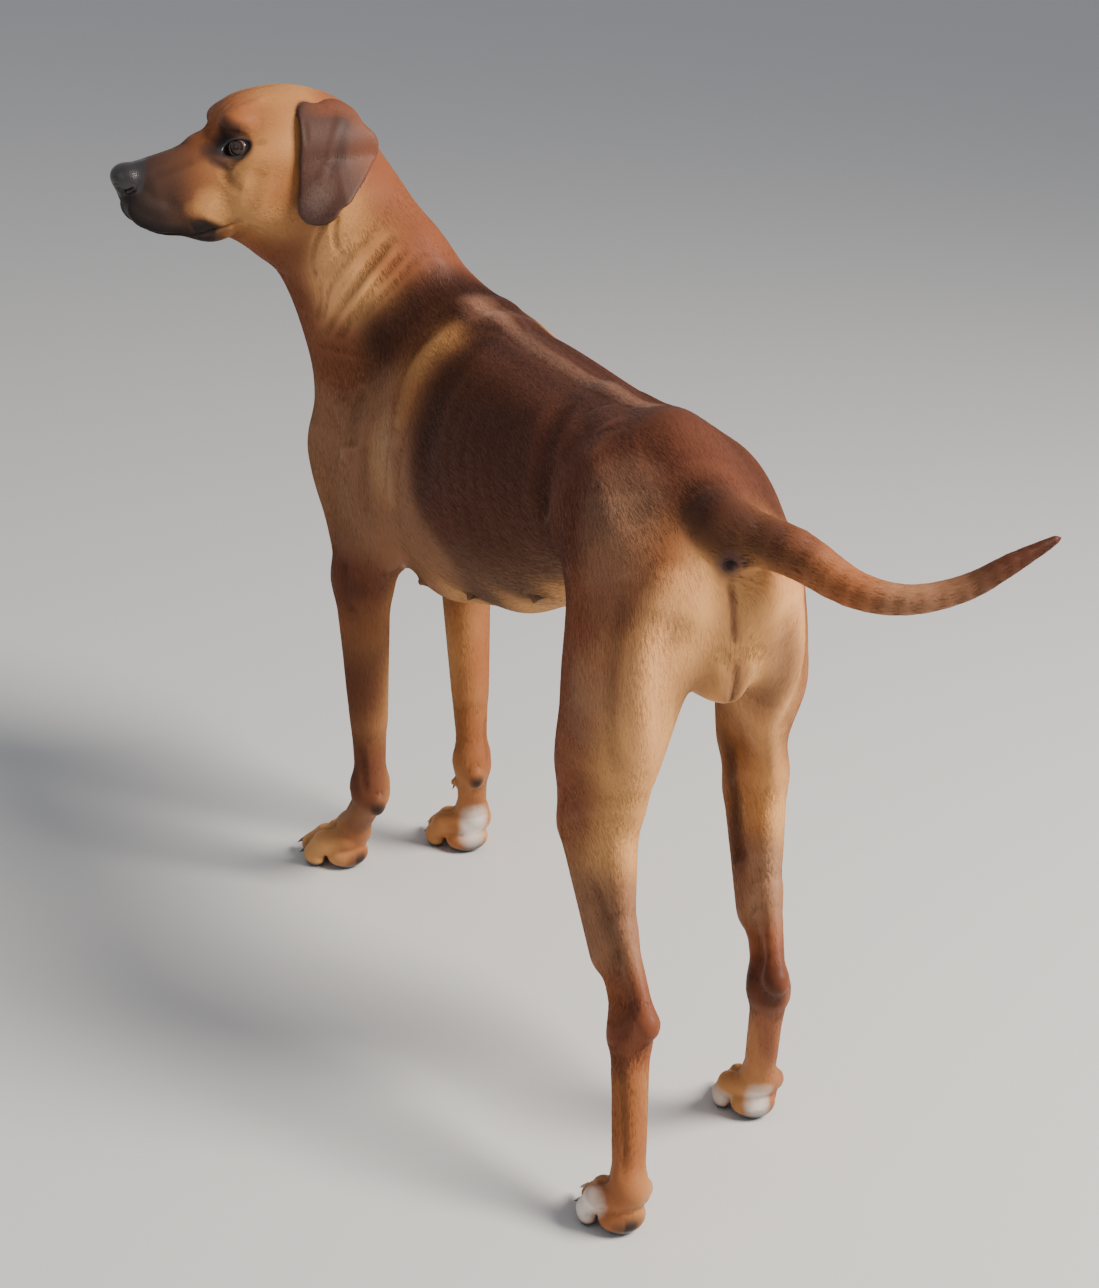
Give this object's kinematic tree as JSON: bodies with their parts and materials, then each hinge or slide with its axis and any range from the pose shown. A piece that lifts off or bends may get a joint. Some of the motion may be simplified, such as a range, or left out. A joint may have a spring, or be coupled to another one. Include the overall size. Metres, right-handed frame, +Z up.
{
  "type": "dog",
  "caption": "Standing short-coated hound, a life-size still model with drop ears, its head turned to its left and its tail held out low; it rests on four paws.",
  "frame": {"origin": "middle of the outline's base, on the floor that the paws stand on", "axes": "+X to the dog's left, -Y the way its body faces, +Z up"},
  "size_m": [0.5306, 0.9056, 0.7994],
  "materials": {
    "coat": "short glossy red-brown coat, paler on the neck, belly and back of the thighs",
    "ear_coat": "very short dark velvety coat",
    "nose_leather": "black, moist and finely pebbled",
    "eye": "wet dark amber-brown",
    "claw": "dark smooth horn"
  },
  "bodies": {
    "root": {"trunk": "coat", "neck": "coat", "head": "coat", "nose": "nose_leather", "tail": "coat", "ear_left": "ear_coat", "eye_left": "eye", "ear_right": "ear_coat", "eye_right": "eye", "foreleg_left": "coat", "forepaw_left": "coat", "forepaw_left_claw_1": "claw", "forepaw_left_claw_2": "claw", "forepaw_left_claw_3": "claw", "forepaw_left_claw_4": "claw", "dewclaw_left": "claw", "foreleg_right": "coat", "forepaw_right": "coat", "forepaw_right_claw_1": "claw", "forepaw_right_claw_2": "claw", "forepaw_right_claw_3": "claw", "forepaw_right_claw_4": "claw", "dewclaw_right": "claw", "hindleg_left": "coat", "hindpaw_left": "coat", "hindpaw_left_claw_1": "claw", "hindpaw_left_claw_2": "claw", "hindpaw_left_claw_3": "claw", "hindpaw_left_claw_4": "claw", "hindleg_right": "coat", "hindpaw_right": "coat", "hindpaw_right_claw_1": "claw", "hindpaw_right_claw_2": "claw", "hindpaw_right_claw_3": "claw", "hindpaw_right_claw_4": "claw"}
  },
  "joints": []
}
